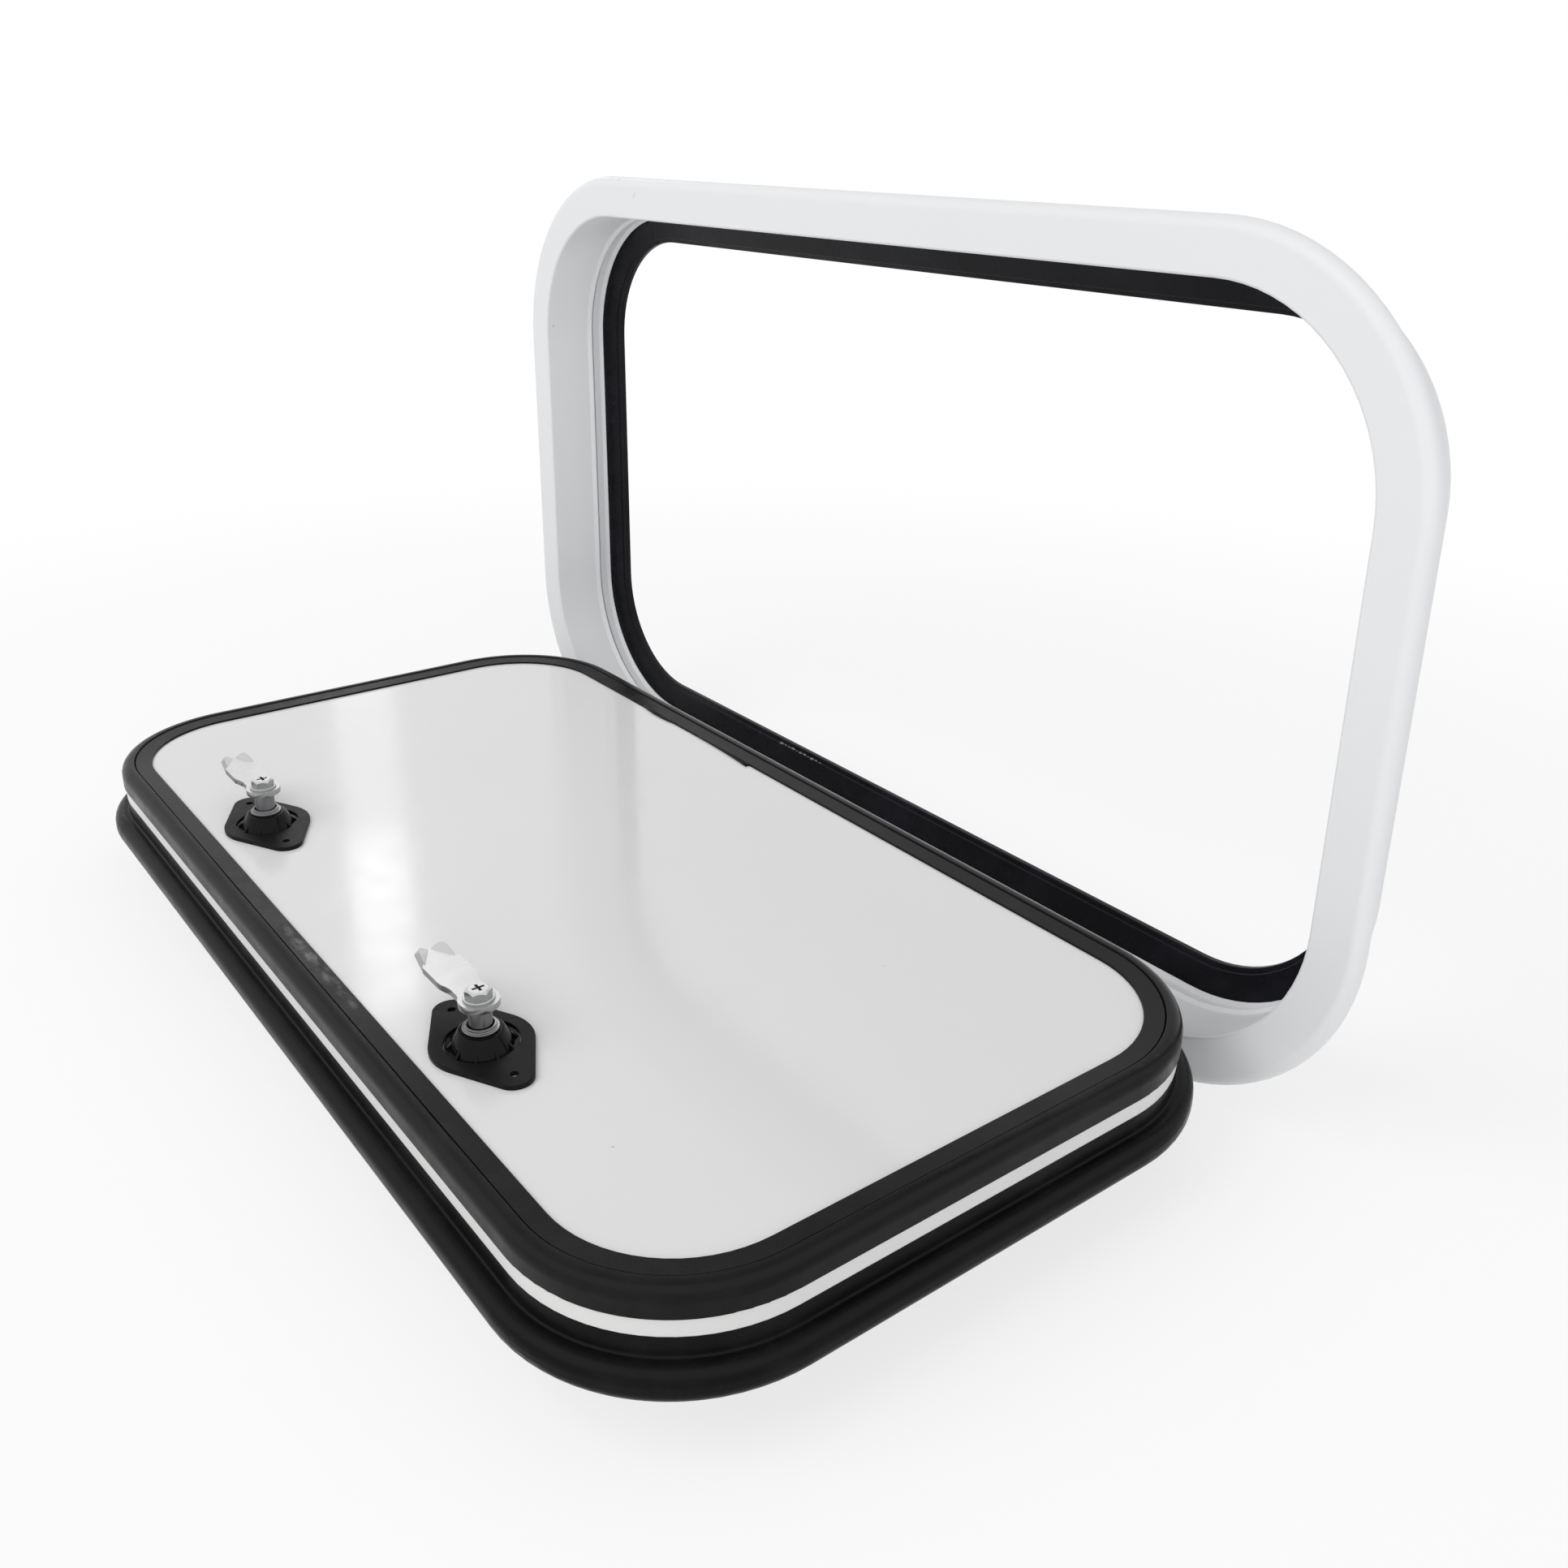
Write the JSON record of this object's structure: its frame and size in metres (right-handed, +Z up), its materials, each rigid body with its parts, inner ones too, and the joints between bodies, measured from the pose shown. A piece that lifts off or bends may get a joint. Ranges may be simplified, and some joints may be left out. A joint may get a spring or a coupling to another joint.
{
  "type": "rv hatch door",
  "caption": "Rounded wall hatch for a caravan: white flanged frame with a rubber seal, and an insulated leaf on a long bottom hinge with turn-knob cam latches.",
  "frame": {"origin": "on the back face of the bottom flange, midway along it and across it, where the frame meets the wall", "axes": "+X along the hinge, +Y into the vehicle, +Z up"},
  "size_m": [0.71, 0.402, 0.404],
  "materials": {
    "frame_white": "gloss white coat",
    "panel_white": "gloss",
    "edge_white": "satin white coat",
    "foam": "rigid foam",
    "seal_rubber": "matte",
    "edge_rubber": "matte, lightly worn",
    "hinge_white": "satin white coat",
    "latch_black": "satin",
    "latch_gloss": "gloss",
    "bright_steel": "bright zinc"
  },
  "bodies": {
    "frame": {"frame_outer_ring": "frame_white", "frame_inner_ring": "frame_white", "frame_seal": "seal_rubber", "hinge_rail": "hinge_white"},
    "leaf": {"leaf_outer_skin": "panel_white", "leaf_core": "foam", "leaf_inner_skin": "panel_white", "leaf_edge_profile": "edge_white", "leaf_inner_seal": "edge_rubber", "leaf_outer_seal": "edge_rubber", "hinge_hook": "hinge_white", "latch_plate_left": "latch_black", "latch_body_left": "latch_gloss", "latch_collar_left": "bright_steel", "latch_bezel_left": "latch_black", "latch_plate_right": "latch_black", "latch_body_right": "latch_gloss", "latch_collar_right": "bright_steel", "latch_bezel_right": "latch_black"},
    "cam_left": {"latch_spindle_left": "bright_steel", "latch_cam_left": "bright_steel", "cam_bolt_left": "bright_steel", "latch_knob_left": "latch_black", "key_plug_left": "bright_steel"},
    "cam_right": {"latch_spindle_right": "bright_steel", "latch_cam_right": "bright_steel", "cam_bolt_right": "bright_steel", "latch_knob_right": "latch_black", "key_plug_right": "bright_steel"}
  },
  "joints": [
    {"name": "leaf_hinge", "type": "hinge", "parent": "frame", "child": "leaf", "pos_m": [0, -0.008, 0.015], "axis": [-1, 0, 0], "range_deg": [0, 90]},
    {"name": "cam_left_turn", "type": "hinge", "parent": "leaf", "child": "cam_left", "pos_m": [-0.132, -0.3005, 0.0753], "axis": [0, 0, 1], "range_deg": [0, 90]},
    {"name": "cam_right_turn", "type": "hinge", "parent": "leaf", "child": "cam_right", "pos_m": [0.132, -0.3005, 0.0753], "axis": [0, 0, 1], "range_deg": [0, 90]}
  ]
}
